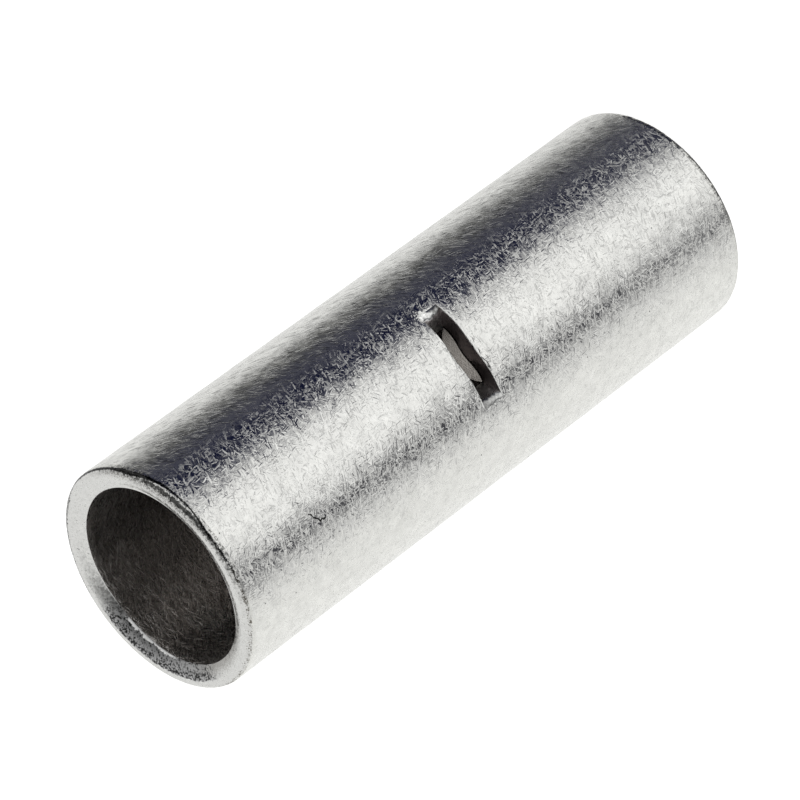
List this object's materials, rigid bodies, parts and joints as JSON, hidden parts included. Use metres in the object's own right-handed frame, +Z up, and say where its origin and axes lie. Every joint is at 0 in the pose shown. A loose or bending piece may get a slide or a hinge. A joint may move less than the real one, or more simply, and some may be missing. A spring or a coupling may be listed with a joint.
{
  "type": "butt splice connector",
  "caption": "Tinned copper tube that joins stranded conductors end to end when crimped, with a lanced slot at mid-length whose bent-in tabs stop each conductor.",
  "frame": {"origin": "centre of the end the barrel stands on, on its axis", "axes": "+Z up along the barrel, towards the end that is near in the picture; the stop's slot faces -Y"},
  "size_m": [0.0175, 0.0174, 0.0525],
  "materials": {
    "tinned_copper": "satin tin plate with a fine crystalline grain, dull and darker inside the bore"
  },
  "bodies": {
    "root": {"sleeve": "tinned_copper"}
  },
  "joints": []
}
